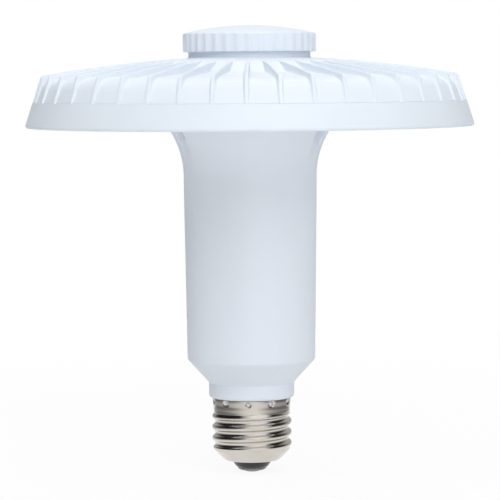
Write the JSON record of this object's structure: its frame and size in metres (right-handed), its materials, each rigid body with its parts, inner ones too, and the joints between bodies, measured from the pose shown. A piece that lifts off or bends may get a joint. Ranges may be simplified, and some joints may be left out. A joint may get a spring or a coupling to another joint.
{
  "type": "led hid replacement bulb",
  "caption": "White screw-in LED lamp: medium screw base, long neck, wide finned disc that lights downwards, and a fluted screw cap over a control port.",
  "frame": {"origin": "tip of the centre contact, on the lamp's axis", "axes": "+Z along the lamp's axis from the base to the cap, -Y towards the front of the picture, +X to its right"},
  "size_m": [0.147, 0.147, 0.1473],
  "materials": {
    "nickel": "polished nickel plate on rolled brass sheet",
    "contact_metal": "nickel plated brass",
    "black_insulator": "glossy black insulator",
    "neck_plastic": "satin white moulded plastic",
    "white_paint": "satin white powder paint on a die casting",
    "rim_plastic": "satin white moulded plastic",
    "hub_plastic": "satin white moulded plastic",
    "cap_plastic": "satin white moulded plastic",
    "opal_plastic": "opal diffuser, matt outside",
    "pad_grey": "soft thermal pad",
    "board_white": "white solder mask on an aluminium core",
    "phosphor": "yellow phosphor in a white package",
    "zinc_steel": "zinc plated steel",
    "board_green": "green solder mask",
    "part_brown": "brown resin",
    "part_blue": "blue epoxy coat",
    "part_yellow": "yellow film box",
    "part_black": "black moulded resin",
    "ferrite": "grey ferrite",
    "copper_wire": "enamelled copper winding",
    "tape_yellow": "yellow insulating tape over a winding",
    "can_sleeve": "dark shrink sleeve",
    "plate_aluminium": "mill finish",
    "connector_ivory": "ivory nylon",
    "wire_black": "black wire sleeve",
    "wire_white": "white wire sleeve",
    "wire_red": "red wire sleeve",
    "wire_blue": "blue wire sleeve",
    "socket_black": "black nylon",
    "pin_gold": "gold flash",
    "seal_rubber": "soft silicone seal"
  },
  "bodies": {
    "lamp": {"screw_shell": "nickel", "base_insulator": "black_insulator", "centre_contact": "contact_metal", "neck_housing": "neck_plastic", "neck_clamp": "zinc_steel", "heat_sink": "white_paint", "rim_ring": "rim_plastic", "thermal_pad": "pad_grey", "led_board": "board_white", "led_chips": "phosphor", "diffuser": "opal_plastic", "board_screws": "zinc_steel", "neck_screws": "zinc_steel", "driver_board": "board_green", "input_fuse": "part_brown", "surge_varistor": "part_blue", "film_capacitor": "part_yellow", "bridge_rectifier": "part_black", "input_choke": "ferrite", "choke_winding": "copper_wire", "bulk_capacitor": "can_sleeve", "transformer_core": "ferrite", "transformer_winding": "tape_yellow", "power_transistor": "part_black", "transistor_heat_plate": "plate_aluminium", "output_capacitor": "can_sleeve", "control_chips": "part_black", "output_connector": "connector_ivory", "live_lead": "wire_black", "neutral_lead": "wire_white", "led_leads": "wire_red", "port_leads": "wire_blue", "port_hub": "hub_plastic", "port_socket": "socket_black", "port_pins": "pin_gold"},
    "seal": {"cap_gasket": "seal_rubber"},
    "cap": {"top_cap": "cap_plastic"}
  },
  "joints": [
    {"name": "cap_lift", "type": "slide", "parent": "lamp", "child": "seal", "axis": [0, 0, 1], "range_m": [0, 0.0063]},
    {"name": "cap_turn", "type": "hinge", "parent": "seal", "child": "cap", "pos_m": [0, 0, 0.14], "axis": [0, 0, 1], "range_deg": [0, 900]}
  ],
  "couplings": [
    {"joint": "cap_lift", "follows": "cap_turn", "m_per_rad": 0.00039789}
  ]
}
